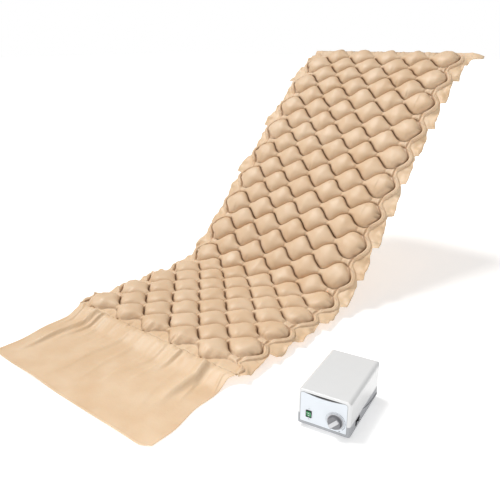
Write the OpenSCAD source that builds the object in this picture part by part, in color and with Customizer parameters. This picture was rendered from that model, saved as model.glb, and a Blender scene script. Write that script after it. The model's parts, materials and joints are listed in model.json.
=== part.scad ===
// Alternating-pressure mattress overlay and its air pump, in millimetres.
// X runs across the overlay, +Y runs from the foot to the head and +Z is up.
// The origin is on the overlay's centreline, at the foot edge of its cells, on the bed's mattress.

/* [Overlay] */
// Distance between neighbouring air cells along a row
cell_pitch = 146; // [130:1:160]
// Distance between neighbouring rows
row_pitch = 76; // [74:1:84]
// Rows in the level foot section
foot_rows = 8; // [5:1:10]
// Rows in the raised back section
back_rows = 15; // [10:1:18]
// Rows in the head section
head_rows = 3; // [2:1:5]
// Cells in a row
row_cells = 5; // [3:1:6]
// Slope of the back section as stored
back_angle = 44; // [20:1:60]
// Slope of the head section as stored
head_angle = 33; // [10:1:44]
// Height of the weld between the two films above the mattress
weld_z = 30; // [28:1:34]
// Overall width of the overlay, edge to edge of the hems
overlay_w = 880; // [870:1:940]

/* [Flaps] */
// Width of the tuck-in flaps
flap_w = 800; // [700:1:802]
// Length of the foot flap from its fold
foot_flap_l = 400; // [250:1:600]
// Length of the head flap that is tucked under the head section
head_flap_l = 205; // [120:1:210]

/* [Pump case] */
// Width of the pump case
pump_w = 156; // [150:1:164]
// Depth of the pump case from front to back
pump_d = 246; // [240:1:256]
// Height of the pump case without its feet
pump_h = 110; // [106:1:118]
// Height of the rubber feet
foot_h = 12; // [11:1:16]
// Height of the grey lower case
tray_h = 33; // [31:1:36]
// Wall thickness of the two case halves
wall = 2.5; // [2:0.1:3]
// Pump position across the overlay
pump_x = 735; // [700:5:900]
// Pump position along the overlay
pump_y = 60; // [0:5:400]
// Turn of the pump about the vertical
pump_yaw = 10; // [0:1:30]

/* [Pump controls] */
// Radius of the pressure knob
knob_r = 19; // [16:0.5:20]
// Height of the knob's axis above the floor
knob_z = 52; // [48:1:56]
// Distance of the knob's axis to the right of the pump's middle
knob_x = 36; // [30:1:38]
// Distance of the switch to the left of the pump's middle
switch_x = 42; // [38:1:50]
// Height of the switch's middle above the floor
switch_z = 49; // [44:1:54]

/* [Pump outlets] */
// Radius of the outlet nozzles
nozzle_r = 3.5; // [3:0.1:4]
// Distance between the two nozzles
nozzle_gap = 16; // [15:0.5:18]
// Height of the nozzles above the floor
nozzle_z = 30; // [28:1:32]
// Distance of the outlet port in front of the pump's middle
port_y = 60; // [56:1:64]

/* [Hidden] */
$fn = 48;

beige = [0.87, 0.74, 0.58];
pump_white = [0.95, 0.95, 0.96];
case_grey = [0.72, 0.73, 0.75];
dark_grey = [0.28, 0.27, 0.27];
rubber_black = [0.08, 0.08, 0.08];
steel = [0.75, 0.76, 0.78];
brass = [0.80, 0.65, 0.30];

film = 0.6;
half_field = (row_cells + 0.5) * cell_pitch / 2;
cell_r = 51;
cell_h = 32;
slim_r = 34.3;
slim_h = 25;
neck_r = 10;
fold_gap = 0.8;
channel_r = 9;
channel_gap = 1;
channel_x = half_field + channel_gap + channel_r;
channel_end = 7;
hem_w = overlay_w / 2 - channel_x - channel_r - 0.5;
hem_t = 1;
margin = 22;
flap_t = 1.2;
fold_y = -margin - 2;
foot_l = foot_rows * row_pitch;
back_l = back_rows * row_pitch;
head_l = head_rows * row_pitch;
tray_top = foot_h + tray_h;
front_y = -pump_d / 2;
side_x = pump_w / 2;
slack = 0.05;
tiny = 0.01;
head_first = foot_rows + back_rows;
boss_r = 4.5;
foot_x = 60;
foot_y = 100;
foot_screw_r = 1.9;
case_screw_x = 68;
case_screws_y = [-25, 75];
case_screw_r = 1.6;
panel_w = 138;
panel_bottom = foot_h + 8;
panel_top = foot_h + 103;
panel_t = 1.5;
panel_corner_r = 7;
corner_r = 9;
side_edge_r = 13;
end_edge_r = 5.5;
gland_x = -48;
gland_z = 30;
gland_r = 3.2;
filter_x = 0;
filter_y = -98;
filter_r = 14;
bail_wire = 2;
bail_half = 30;
bail_y = pump_d / 2 + 4;
bail_z = 6.5;
lug_t = 6;
lug_x = bail_half + 7;
port_w = 36;
port_h = 20;
port_depth = 8;
nozzle_l = 14;
spindle_r = 3;
switch_w = 17.6;
switch_h = 22.4;
switch_rim = 0.4;
rocker_w = 13.6;
rocker_h = 17.5;
brow_w = 124;
brow_top = panel_top + 0.6;
brow_dip = 6.3;
scoop_r = 329;
scoop_y = 110;
scoop_depth = 1.6;
knob_back = front_y - 2;
knob_t = 14;
rocker_axis_y = front_y + 2;
plate_z = 22;
mounts_x = 46;
mounts_y = [-22, 104];
core_y = -22;
core_z = 44;
plate_top = plate_z + 2;
arm_x = 30;
pivot_y = 88;
arm_z = 60;
pin_r = 2;
bellows_y = 45;
bellows_top = 56;
chamber_h = 12;
seat_x = 36;
seat_y = -66;
seat_r = 21;
seat_top = 36;
disc_r = 16;

// Radius of the sphere whose cap has this rim radius and height
function cap_radius(rim, height) = (rim * rim + height * height) / (2 * height);

// A rounded rectangle's outline, centred on the origin, with its lower corners rounder or sharper
function round_rect(w, d, r, lower_r = undef, steps = 8) = [
  for (c = [[1, 1, 0], [-1, 1, 90], [-1, -1, 180], [1, -1, 270]])
    let (q = c[1] < 0 && lower_r != undef ? lower_r : r)
      for (i = [0 : steps])
        let (a = c[2] + 90 * i / steps)
          [c[0] * (w / 2 - q) + q * cos(a), c[1] * (d / 2 - q) + q * sin(a)]
];

// Places a section: level, or turned about its fold line in the weld's plane
module in_back() {
  translate([0, foot_l, weld_z])
    rotate([back_angle, 0, 0])
      translate([0, -foot_l, -weld_z])
        children();
}

module in_head() {
  in_back()
    translate([0, foot_l + back_l, weld_z])
      rotate([head_angle - back_angle, 0, 0])
        translate([0, -foot_l - back_l, -weld_z])
          children();
}

// Rows are counted from the foot. Rows beside a fold have slim cells.
function is_slim(row) =
  row == foot_rows - 1 || row == foot_rows
  || row == foot_rows + back_rows - 1 || row == foot_rows + back_rows;
function row_y(row) = (row + 0.5) * row_pitch;
// Circuit a's rows start at the left edge, circuit b's half a pitch further in
function cell_x(row, i) = (i + (row % 2 == 0 ? 0.5 : 1)) * cell_pitch - half_field;
function rim_of(row) = is_slim(row) ? slim_r : cell_r;

// A lens: the space common to two spheres, resting flat where it is cut at the mattress
module lens(rim, height) {
  r = cap_radius(rim, height);
  intersection() {
    translate([0, 0, weld_z + height - r])
      sphere(r);
    translate([0, 0, weld_z - height + r])
      sphere(r);
  }
}

// One row of air cells, joined by necks, reaching to the air channel on one side
module cell_row(row, skin) {
  rim = rim_of(row) - skin;
  height = (is_slim(row) ? slim_h : cell_h) - skin;
  out = row % 2 == 0 ? half_field - skin : -half_field + skin;
  inner_end = row % 2 == 0 ? cell_x(row, 0) : cell_x(row, row_cells - 1);
  start = min(out, inner_end);
  translate([0, row_y(row), 0])
    difference() {
      union() {
        for (i = [0 : row_cells - 1])
          translate([cell_x(row, i), 0, 0])
            lens(rim, height);
        translate([start, 0, weld_z])
          rotate([0, 90, 0])
            cylinder(r = neck_r - skin, h = abs(out - inner_end));
      }
      translate([-half_field, -row_pitch, skin - cell_h])
        cube([2 * half_field, 2 * row_pitch, cell_h]);
    }
}

// Every second row of a section, as hollow film bags with a flat underside
module air_cells(first, count, odd) {
  for (row = [first : first + count - 1])
    if (row % 2 == odd)
      difference() {
        cell_row(row, 0);
        cell_row(row, film);
      }
}

// The welded film between the cells, cut out round each cell and neck
module weld_web(first, count, start_edge, end_edge) {
  clear = 0.4;
  translate([0, 0, weld_z - film / 2])
    linear_extrude(film)
      difference() {
        translate([-half_field, first * row_pitch + start_edge])
          square([2 * half_field, count * row_pitch - start_edge + end_edge]);
        for (row = [first : first + count - 1])
          translate([0, row_y(row)]) {
            for (i = [0 : row_cells - 1])
              translate([cell_x(row, i), 0])
                circle(rim_of(row) + clear);
            if (row % 2 == 0)
              translate([cell_x(row, 0), -neck_r - clear])
                square([2 * half_field, 2 * (neck_r + clear)]);
            else
              translate([cell_x(row, row_cells - 1) - 2 * half_field, -neck_r - clear])
                square([2 * half_field, 2 * (neck_r + clear)]);
          }
      }
}

module side_hems(first, count, start_edge, end_edge) {
  for (side = [-1, 1])
    translate([side * (overlay_w / 2 - hem_w / 2), 0, weld_z])
      translate([-hem_w / 2, first * row_pitch + start_edge, -hem_t / 2])
        cube([hem_w, count * row_pitch - start_edge + end_edge, hem_t]);
}

// A closed tube along one long edge that feeds one circuit
module air_channel(side, first, count, start_edge, end_edge) {
  length = count * row_pitch - start_edge + end_edge;
  translate([side * channel_x, first * row_pitch + start_edge, weld_z])
    rotate([-90, 0, 0])
      difference() {
        cylinder(r = channel_r, h = length);
        translate([0, 0, film])
          cylinder(r = channel_r - film, h = length - 2 * film);
      }
}

module foot_air_cells_a() { color(beige) air_cells(0, foot_rows, 0); }
module foot_air_cells_b() { color(beige) air_cells(0, foot_rows, 1); }
module foot_weld_web() { color(beige) weld_web(0, foot_rows, -margin, -fold_gap); }
module foot_side_hems() { color(beige) side_hems(0, foot_rows, -margin, -fold_gap); }
module foot_air_channel_left() { color(beige) air_channel(-1, 0, foot_rows, 0, -channel_end); }
module foot_air_channel_right() { color(beige) air_channel(1, 0, foot_rows, 0, -channel_end); }

module back_air_cells_a() { color(beige) in_back() air_cells(foot_rows, back_rows, 0); }
module back_air_cells_b() { color(beige) in_back() air_cells(foot_rows, back_rows, 1); }
module back_weld_web() { color(beige) in_back() weld_web(foot_rows, back_rows, fold_gap, -fold_gap); }
module back_side_hems() { color(beige) in_back() side_hems(foot_rows, back_rows, fold_gap, -fold_gap); }
module back_channel(side) {
  color(beige) in_back() air_channel(side, foot_rows, back_rows, channel_end, -channel_end);
}
module back_air_channel_left() { back_channel(-1); }
module back_air_channel_right() { back_channel(1); }

module head_air_cells_a() { color(beige) in_head() air_cells(head_first, head_rows, 0); }
module head_air_cells_b() { color(beige) in_head() air_cells(head_first, head_rows, 1); }
module head_weld_web() { color(beige) in_head() weld_web(head_first, head_rows, fold_gap, margin); }
module head_side_hems() { color(beige) in_head() side_hems(head_first, head_rows, fold_gap, margin); }
module head_channel(side) {
  color(beige) in_head() air_channel(side, head_first, head_rows, channel_end, 0);
}
module head_air_channel_left() { head_channel(-1); }
module head_air_channel_right() { head_channel(1); }

// A flat sheet that drops from its fold to the mattress and lies on it
module foot_flap() {
  drop_y = fold_y - 56;
  end_y = fold_y - foot_flap_l;
  color(beige)
    translate([-flap_w / 2, 0, 0])
      rotate([90, 0, 90])
        linear_extrude(flap_w)
          polygon([
            [fold_y, weld_z + flap_t / 2],
            [fold_y, weld_z - flap_t / 2],
            [drop_y, 0],
            [end_y, 0],
            [end_y, flap_t],
            [drop_y - 1, flap_t]
          ]);
}

// The same sheet at the head end, turned down and tucked back under the head section
module head_flap() {
  y0 = foot_l + back_l + head_l + margin + 2;
  under = -6;
  color(beige)
    in_head()
      translate([-flap_w / 2, 0, 0])
        rotate([90, 0, 90])
          linear_extrude(flap_w)
            polygon([
              [y0, weld_z + flap_t / 2],
              [y0 + 7, weld_z - 18],
              [y0 + 2, under - flap_t],
              [y0 - head_flap_l, under - flap_t],
              [y0 - head_flap_l, under],
              [y0 + 1, under],
              [y0 + 7 - flap_t, weld_z - 18],
              [y0, weld_z - flap_t / 2]
            ]);
}

// Hose connector at the foot end of an air channel
module overlay_port(side) {
  port_l = 26;
  flange = 2;
  bore = 2.2;
  color(beige)
    translate([side * channel_x, 0, weld_z])
      rotate([90, 0, 0])
        difference() {
          union() {
            cylinder(r = channel_r - 1, h = flange);
            cylinder(r = nozzle_r, h = port_l);
          }
          translate([0, 0, flange])
            cylinder(r = bore, h = port_l);
        }
}
module overlay_port_left() { overlay_port(-1); }
module overlay_port_right() { overlay_port(1); }

// Places a pump part, modelled with the pump's front facing -Y
module at_pump() {
  translate([pump_x, pump_y, 0])
    rotate([0, 0, pump_yaw])
      children();
}

module at_feet() {
  for (x = [-foot_x, foot_x])
    for (y = [-foot_y, foot_y])
      translate([x, y, 0])
        children();
}

module at_case_screws() {
  for (x = [-case_screw_x, case_screw_x])
    for (y = case_screws_y)
      translate([x, y, 0])
        children();
}

// Grey tray: floor, walls, bosses, bail lugs and the openings in its walls
module lower_case() {
  floor_z = foot_h + wall;
  color(case_grey)
    at_pump()
      difference() {
        union() {
          difference() {
            translate([0, 0, foot_h])
              linear_extrude(tray_h)
                polygon(round_rect(pump_w, pump_d, corner_r));
            translate([0, 0, floor_z])
              linear_extrude(tray_h)
                polygon(round_rect(pump_w - 2 * wall, pump_d - 2 * wall, corner_r - wall));
          }
          at_feet()
            translate([0, 0, foot_h])
              cylinder(r = boss_r, h = 18.6);
          at_case_screws()
            translate([0, 0, foot_h])
              cylinder(r = boss_r, h = tray_h);
          for (side = [-1, 1])
            translate([side * lug_x - lug_t / 2, pump_d / 2 - 8, 1.5])
              cube([lug_t, 16, 20]);
        }
        // front wall stands low behind the panel
        translate([-panel_w / 2, front_y - 1, panel_bottom])
          cube([panel_w, wall + 2, tray_h]);
        // outlet port
        translate([side_x - wall - 1, -port_y - port_w / 2, nozzle_z - port_h / 2])
          cube([wall + 2, port_w, port_h]);
        // mains gland
        translate([gland_x, pump_d / 2 + 1, gland_z])
          rotate([90, 0, 0])
            cylinder(r = 6, h = wall + 2);
        at_feet()
          cylinder(r = foot_screw_r + slack, h = foot_h + 17);
        at_case_screws() {
          cylinder(r = case_screw_r + 0.1, h = tray_top + 1);
          cylinder(r = 3.2, h = foot_h + 2);
        }
        // air intake under the filter
        translate([filter_x, filter_y, foot_h - 1])
          cylinder(r = filter_r - 3, h = wall + 2);
        for (side = [-1, 1])
          translate([side * lug_x - lug_t, bail_y, bail_z])
            rotate([0, 90, 0])
              cylinder(r = bail_wire + slack, h = 2 * lug_t);
        // finger scoops, which deepen towards the rear
        for (side = [-1, 1])
          translate([side * side_x, scoop_y, foot_h + 4 + scoop_r])
            rotate([0, 90, 0])
              cylinder(r = scoop_r, h = 2 * scoop_depth, center = true, $fn = 180);
      }
}

// Rounded block: three outlines crossed, so that every upper edge is round
module case_block(inset) {
  w = pump_w - 2 * inset;
  d = pump_d - 2 * inset;
  h = pump_h - tray_h - inset;
  intersection() {
    translate([0, 0, tray_top])
      linear_extrude(h)
        polygon(round_rect(w, d, corner_r - inset));
    translate([0, d / 2, tray_top])
      rotate([90, 0, 0])
        linear_extrude(d)
          polygon(round_rect(w, 2 * h, side_edge_r - inset));
    translate([-w / 2, 0, tray_top])
      rotate([90, 0, 90])
        linear_extrude(w)
          polygon(round_rect(d, 2 * h, end_edge_r - inset));
  }
}

// Crescent under the brow: a straight upper edge and a lower edge that dips in the middle
module brow_crescent(depth) {
  arc_r = cap_radius(brow_w / 2, brow_dip);
  low = brow_top - brow_dip;
  intersection() {
    translate([-brow_w / 2, front_y - 1, low - 1])
      cube([brow_w, depth + 1, brow_dip + 1]);
    translate([0, front_y - 2, low + arc_r])
      rotate([-90, 0, 0])
        cylinder(r = arc_r, h = depth + 4, $fn = 180);
  }
}

// Hole in the panel and in the wall behind it for the switch's body
module switch_hole(depth) {
  w = switch_w - 2 * switch_rim;
  h = switch_h - 2 * switch_rim;
  translate([-switch_x - w / 2, front_y - 1, switch_z - h / 2])
    cube([w, depth + 1, h]);
}

// Hole in the panel and in the wall behind it for the knob's spindle
module spindle_hole(depth) {
  translate([knob_x, front_y - 1, knob_z])
    rotate([-90, 0, 0])
      cylinder(r = 6, h = depth + 1);
}

// White shell with a front wall that reaches down behind the panel
module upper_case() {
  post_bore = 1.65;
  post_gap = 4;
  recess_h = 2 * (panel_top - panel_bottom);
  color(pump_white)
    at_pump()
      difference() {
        union() {
          difference() {
            case_block(0);
            translate([0, 0, -tiny])
              case_block(wall);
          }
          translate([-panel_w / 2 + 0.3, front_y, panel_bottom + 0.3])
            cube([panel_w - 0.6, wall, tray_top - panel_bottom]);
          at_case_screws()
            translate([0, 0, tray_top])
              cylinder(r = boss_r, h = pump_h - tray_h - post_gap);
        }
        at_case_screws()
          translate([0, 0, tray_top - 1])
            cylinder(r = post_bore, h = 14);
        // recess for the panel
        translate([0, front_y + panel_t, panel_top - recess_h / 2])
          rotate([90, 0, 0])
            linear_extrude(panel_t + 1)
              polygon(round_rect(panel_w - 0.6, recess_h, panel_corner_r));
        brow_crescent(wall + 1);
        spindle_hole(wall + 1);
        switch_hole(wall + 1);
      }
}

module front_panel() {
  h = panel_top - panel_bottom - 1;
  color([0.93, 0.95, 0.98])
    at_pump()
      difference() {
        translate([0, front_y + panel_t, panel_bottom + 0.5 + h / 2])
          rotate([90, 0, 0])
            linear_extrude(panel_t)
              polygon(round_rect(panel_w - 1.2, h, panel_corner_r, 2));
        brow_crescent(panel_t + 1);
        spindle_hole(panel_t + 1);
        switch_hole(panel_t + 1);
      }
}

// Dark strip that backs the crescent from inside the shell
module brow_recess() {
  lap = 2;
  color(dark_grey)
    at_pump()
      translate([-brow_w / 2 - lap, front_y + wall, brow_top - brow_dip - lap])
        cube([brow_w + 2 * lap, 1.8, brow_dip + lap + 0.8]);
}

// Raised ring round the knob that carries the scale
module scale_ring() {
  color([0.98, 0.98, 0.98])
    at_pump()
      translate([knob_x, front_y - 0.02, knob_z])
        rotate([90, 0, 0])
          difference() {
            cylinder(r = knob_r + 4, h = 1.4);
            translate([0, 0, -1])
              cylinder(r = 6, h = 4);
          }
}

module pressure_knob() {
  color([0.55, 0.56, 0.58])
    at_pump()
      translate([knob_x, knob_back, knob_z])
        rotate([90, 0, 0])
          difference() {
            union() {
              cylinder(r = knob_r + 2, h = 3);
              cylinder(r1 = knob_r, r2 = knob_r - 1.5, h = knob_t - 4);
            }
            translate([0, 0, -1])
              cylinder(r = spindle_r, h = 9);
          }
}

// Raised diagonal bar that the fingers hold
module knob_grip_bar() {
  color([0.80, 0.81, 0.82])
    at_pump()
      translate([knob_x, knob_back - knob_t + 4, knob_z])
        rotate([90, 0, 0])
          rotate([0, 0, 45])
            linear_extrude(4)
              polygon(round_rect(2 * knob_r - 5, 10.4, 3));
}

module knob_spindle() {
  color(steel)
    at_pump()
      translate([knob_x, knob_back - 8, knob_z])
        rotate([-90, 0, 0])
          cylinder(r = spindle_r, h = 32);
}

// Pressure regulator behind the panel, which the spindle turns
module regulator_body() {
  color(brass)
    at_pump()
      translate([knob_x, front_y + wall, knob_z])
        rotate([-90, 0, 0])
          difference() {
            union() {
              cylinder(r = 10, h = 12);
              translate([0, 0, 12])
                cylinder(r = 8, h = 14);
              translate([0, 0, 20])
                rotate([0, 90, 0])
                  cylinder(r = 3, h = 16);
            }
            translate([0, 0, -1])
              cylinder(r = spindle_r + slack, h = 22.5);
          }
}

module switch_bezel() {
  color(rubber_black)
    at_pump()
      translate([-switch_x, front_y, switch_z])
        rotate([90, 0, 0])
          difference() {
            union() {
              translate([0, 0, 0.02])
                linear_extrude(1.6)
                  polygon(round_rect(switch_w, switch_h, 1.5));
              translate([0, 0, -16])
                linear_extrude(16.1)
                  square([switch_w - 1.2, switch_h - 1.2], center = true);
            }
            translate([0, 0, -10])
              linear_extrude(14)
                square([switch_w - 3, switch_h - 3], center = true);
            translate([-switch_w, 0, -2])
              rotate([0, 90, 0])
                cylinder(r = 1.2, h = 2 * switch_w);
          }
}

// Pin that the rocker turns on, pressed into the bezel's walls
module rocker_pin() {
  color(steel)
    at_pump()
      translate([-switch_x, rocker_axis_y, switch_z])
        rotate([0, 90, 0])
          cylinder(r = 1.2, h = switch_w - 1.4, center = true);
}

// Rocker, stored with its lower half pressed in, which is off
module rocker() {
  h = rocker_h;
  color([0.05, 0.55, 0.30])
    at_pump()
      translate([-switch_x, rocker_axis_y, switch_z])
        rotate([12, 0, 0])
          difference() {
            rotate([90, 0, 90])
              linear_extrude(rocker_w, center = true)
                polygon([
                  [3, -h / 2 + 1], [-4.2, -h / 2], [-3.2, 0], [-4.2, h / 2], [3, h / 2 - 1]
                ]);
            rotate([0, 90, 0])
              cylinder(r = 1.2 + slack, h = 2 * rocker_w, center = true);
          }
}

module rubber_feet() {
  color(rubber_black)
    at_pump()
      at_feet()
        difference() {
          union() {
            cylinder(r1 = 7.5, r2 = 9, h = foot_h - 2);
            translate([0, 0, foot_h - 2])
              cylinder(r = 11, h = 2);
          }
          translate([0, 0, -1])
            cylinder(r = 4.3, h = 5);
          cylinder(r = foot_screw_r + 0.1, h = foot_h + 1);
        }
}

module foot_screws() {
  color(steel)
    at_pump()
      at_feet()
        translate([0, 0, 2]) {
          cylinder(r = 4, h = 2);
          cylinder(r = foot_screw_r, h = foot_h + 8);
        }
}

module case_screws() {
  color(steel)
    at_pump()
      at_case_screws()
        translate([0, 0, foot_h]) {
          cylinder(r = 3, h = 2);
          cylinder(r = case_screw_r, h = tray_h + 8);
        }
}

// Wire bail that hangs the pump on the bed, folded flat under the case
module hanging_bail() {
  arm_end = -45;
  color(steel)
    at_pump()
      translate([0, 0, bail_z]) {
        for (side = [-1, 1]) {
          translate([side * bail_half, bail_y, 0])
            rotate([90, 0, 0])
              cylinder(r = bail_wire, h = bail_y - arm_end);
          translate([side * bail_half, bail_y, 0])
            sphere(bail_wire);
          translate([side * (bail_half + 5.5), bail_y, 0])
            rotate([0, 90, 0])
              cylinder(r = bail_wire, h = 11, center = true);
        }
        translate([0, arm_end, 0])
          rotate([0, 0, 180])
            rotate_extrude(angle = 180)
              translate([bail_half, 0])
                circle(bail_wire);
      }
}

// Recessed plate in the side wall that carries the two nozzles
module outlet_port() {
  color(dark_grey)
    at_pump()
      translate([side_x - port_depth, -port_y, nozzle_z])
        difference() {
          translate([-2, -port_w / 2 + 0.1, -port_h / 2 + 0.1])
            cube([port_depth + 2, port_w - 0.2, port_h - 0.2]);
          translate([0, -port_w / 2 + 1.6, -port_h / 2 + 1.6])
            cube([port_depth + 1, port_w - 3.2, port_h - 3.2]);
          for (side = [-1, 1])
            translate([-3, side * nozzle_gap / 2, 0])
              rotate([0, 90, 0])
                cylinder(r = nozzle_r - 0.5, h = 4);
        }
}

module outlet_nozzle(side) {
  bore = 2.2;
  color(steel)
    at_pump()
      translate([side_x - port_depth, -port_y + side * nozzle_gap / 2, nozzle_z])
        rotate([0, 90, 0])
          difference() {
            union() {
              translate([0, 0, -12])
                cylinder(r = nozzle_r - 0.5, h = 13);
              cylinder(r = nozzle_r, h = nozzle_l);
            }
            translate([0, 0, -13])
              cylinder(r = bore, h = nozzle_l + 14);
          }
}
module outlet_nozzle_a() { outlet_nozzle(-1); }
module outlet_nozzle_b() { outlet_nozzle(1); }

// Rubber gland in the rear wall that the mains lead passes through
module mains_gland() {
  color(rubber_black)
    at_pump()
      translate([gland_x, pump_d / 2 - wall - 3, gland_z])
        rotate([-90, 0, 0])
          difference() {
            union() {
              cylinder(r = 8, h = 3);
              cylinder(r = 5.9, h = wall + 4);
              translate([0, 0, wall + 3.1])
                cylinder(r1 = 8, r2 = 6, h = 8);
            }
            translate([0, 0, -1])
              cylinder(r = gland_r, h = 24);
          }
}

module air_filter() {
  color([0.90, 0.90, 0.86])
    at_pump()
      translate([filter_x, filter_y, foot_h + wall])
        cylinder(r = filter_r, h = 4);
}

// Slotted grille under the air intake
module filter_cover() {
  color(case_grey)
    at_pump()
      translate([filter_x, filter_y, foot_h])
        difference() {
          cylinder(r = filter_r - 3.2, h = wall);
          for (x = [-6, -2, 2, 6])
            translate([x - 0.8, -7, -1])
              cube([1.6, 14, wall + 2]);
        }
}

module at_mounts() {
  for (x = [-mounts_x, mounts_x])
    for (y = mounts_y)
      translate([x, y, 0])
        children();
}

module chassis_plate() {
  color(steel)
    at_pump()
      difference() {
        translate([-58, -34, plate_z])
          cube([116, 143, 2]);
        at_mounts()
          cylinder(r = 3.1, h = 2 * plate_z);
        at_feet()
          cylinder(r = boss_r + 1, h = 2 * plate_z);
      }
}

module rubber_mounts() {
  color(rubber_black)
    at_pump()
      at_mounts() {
        translate([0, 0, foot_h + wall])
          cylinder(r = 5.5, h = plate_z - foot_h - wall);
        translate([0, 0, plate_z])
          cylinder(r = 3, h = 2.1);
        translate([0, 0, plate_z + 2.05])
          cylinder(r = 5, h = 2);
      }
}

// Laminated core: a back bar with three poles, on a post
module magnet_core() {
  color([0.35, 0.33, 0.32])
    at_pump() {
      translate([-16, core_y, core_z]) {
        cube([32, 26, 8]);
        translate([0, 0, 28])
          cube([32, 26, 8]);
        translate([12, 0, 7])
          cube([8, 26, 22]);
      }
      translate([-12, core_y + 2, plate_top])
        cube([24, 22, core_z - plate_top]);
    }
}

// Copper winding round the core's middle limb
module magnet_coil() {
  color([0.72, 0.42, 0.22])
    at_pump()
      translate([0, core_y + 13, core_z + 8.2])
        difference() {
          translate([-14, -17, 0])
            cube([28, 34, 19.6]);
          translate([-4.2, -13.2, -1])
            cube([8.4, 26.4, 22]);
        }
}

// Bracket with two ears and a fixed pin for each armature
module pivot_bracket() {
  color(steel)
    at_pump() {
      translate([-44, pivot_y - 8, plate_top])
        cube([88, 16, 4]);
      for (side = [-1, 1])
        for (ear = [-1, 1])
          translate([side * arm_x + ear * 9 - 1.5, pivot_y - 6, plate_top])
            cube([3, 12, arm_z + 6 - plate_top]);
      for (side = [-1, 1])
        translate([side * arm_x, pivot_y, arm_z])
          rotate([0, 90, 0])
            cylinder(r = pin_r, h = 21, center = true);
    }
}

module armature(side) {
  color(steel)
    at_pump()
      translate([side * arm_x, 0, arm_z]) {
        difference() {
          union() {
            translate([-5, core_y - 2, -2])
              cube([10, pivot_y - core_y, 4]);
            translate([0, pivot_y, 0])
              rotate([0, 90, 0])
                cylinder(r = 5, h = 12, center = true);
          }
          translate([0, pivot_y, 0])
            rotate([0, 90, 0])
              cylinder(r = pin_r + slack, h = 14, center = true);
        }
        translate([0, bellows_y, bellows_top - arm_z])
          cylinder(r = 3, h = 3);
      }
}
module armature_left() { armature(-1); }
module armature_right() { armature(1); }

// Two block magnets under and over the armature's end, facing the core
module armature_magnets(side) {
  color([0.2, 0.2, 0.22])
    at_pump()
      for (z = [arm_z - 12, arm_z + 2])
        translate([side * arm_x - 6, core_y + 2, z])
          cube([12, 20, 10]);
}
module armature_magnets_left() { armature_magnets(-1); }
module armature_magnets_right() { armature_magnets(1); }

// Rubber bellows between a valve chamber and its armature
module bellows(side) {
  color(rubber_black)
    at_pump()
      translate([side * arm_x, bellows_y, plate_top + chamber_h]) {
        h = bellows_top - plate_top - chamber_h;
        cylinder(r = 14, h = h);
        for (z = [2, 9, 16])
          translate([0, 0, z])
            cylinder(r = 17, h = 3);
      }
}
module bellows_left() { bellows(-1); }
module bellows_right() { bellows(1); }

// Chambers with the intake and outlet valves, and their tube to the valve seat
module valve_chambers() {
  color([0.85, 0.85, 0.80])
    at_pump()
      for (side = [-1, 1])
        translate([side * arm_x, bellows_y, plate_top]) {
          translate([-19, -19, 0])
            cube([38, 38, chamber_h]);
          translate([side * 19, -8, 6])
            rotate([0, side * 90, 0])
              cylinder(r = 3, h = 8);
        }
}

// Round seat with the ports that the rotor opens in turn, and posts for the motor
module valve_seat() {
  color([0.85, 0.85, 0.80])
    at_pump()
      translate([seat_x, seat_y, 0])
        difference() {
          union() {
            translate([0, 0, foot_h + wall])
              cylinder(r = seat_r, h = seat_top - foot_h - wall);
            for (a = [0, 90, 180, 270])
              rotate([0, 0, a])
                translate([seat_r - 2.5, 0, seat_top - 4])
                  cylinder(r = 2.2, h = 14);
          }
          for (a = [45, 225])
            rotate([0, 0, a])
              translate([9, 0, seat_top - 10])
                cylinder(r = 2.5, h = 12);
        }
}

// Disc and spindle that turn together
module valve_rotor() {
  color([0.90, 0.55, 0.20])
    at_pump()
      translate([seat_x, seat_y, seat_top + 0.1])
        difference() {
          union() {
            cylinder(r = disc_r, h = 4);
            cylinder(r = spindle_r, h = 18);
          }
          translate([9, 0, -1])
            cylinder(r = 3, h = 6);
        }
}

// Slow synchronous motor that turns the rotor
module timing_motor() {
  color(steel)
    at_pump()
      translate([seat_x, seat_y, seat_top + 10])
        difference() {
          union() {
            cylinder(r = 22, h = 16);
            translate([0, 0, 16])
              cylinder(r = 6, h = 3);
          }
          translate([0, 0, -1])
            cylinder(r = spindle_r + slack, h = 12);
        }
}

// Board with the mains terminals, the fuse and the coil's supply
module circuit_board() {
  color([0.10, 0.40, 0.20])
    at_pump()
      translate([-66, -92, foot_h + wall]) {
        for (x = [5, 39])
          for (y = [5, 35])
            translate([x, y, 0])
              cylinder(r = 3, h = 8.1);
        translate([0, 0, 8])
          cube([44, 40, 1.6]);
        translate([6, 8, 9.5])
          cube([14, 10, 9]);
        translate([26, 8, 9.5])
          cube([10, 22, 6]);
        translate([11, 28, 9.5])
          cylinder(r = 5, h = 12);
      }
}

foot_air_cells_a();
foot_air_cells_b();
foot_weld_web();
foot_side_hems();
foot_air_channel_left();
foot_air_channel_right();
back_air_cells_a();
back_air_cells_b();
back_weld_web();
back_side_hems();
back_air_channel_left();
back_air_channel_right();
head_air_cells_a();
head_air_cells_b();
head_weld_web();
head_side_hems();
head_air_channel_left();
head_air_channel_right();
foot_flap();
head_flap();
overlay_port_left();
overlay_port_right();
lower_case();
upper_case();
front_panel();
brow_recess();
scale_ring();
pressure_knob();
knob_grip_bar();
knob_spindle();
regulator_body();
switch_bezel();
rocker();
rocker_pin();
rubber_feet();
foot_screws();
case_screws();
hanging_bail();
outlet_port();
outlet_nozzle_a();
outlet_nozzle_b();
mains_gland();
air_filter();
filter_cover();
chassis_plate();
rubber_mounts();
magnet_core();
magnet_coil();
pivot_bracket();
armature_left();
armature_right();
armature_magnets_left();
armature_magnets_right();
bellows_left();
bellows_right();
valve_chambers();
valve_seat();
valve_rotor();
timing_motor();
circuit_board();
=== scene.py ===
"""Pressure relief mattress overlay with its air pump: film, materials, floor, lights and camera
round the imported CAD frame. All lengths are in metres.
"""

import json
import math

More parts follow.
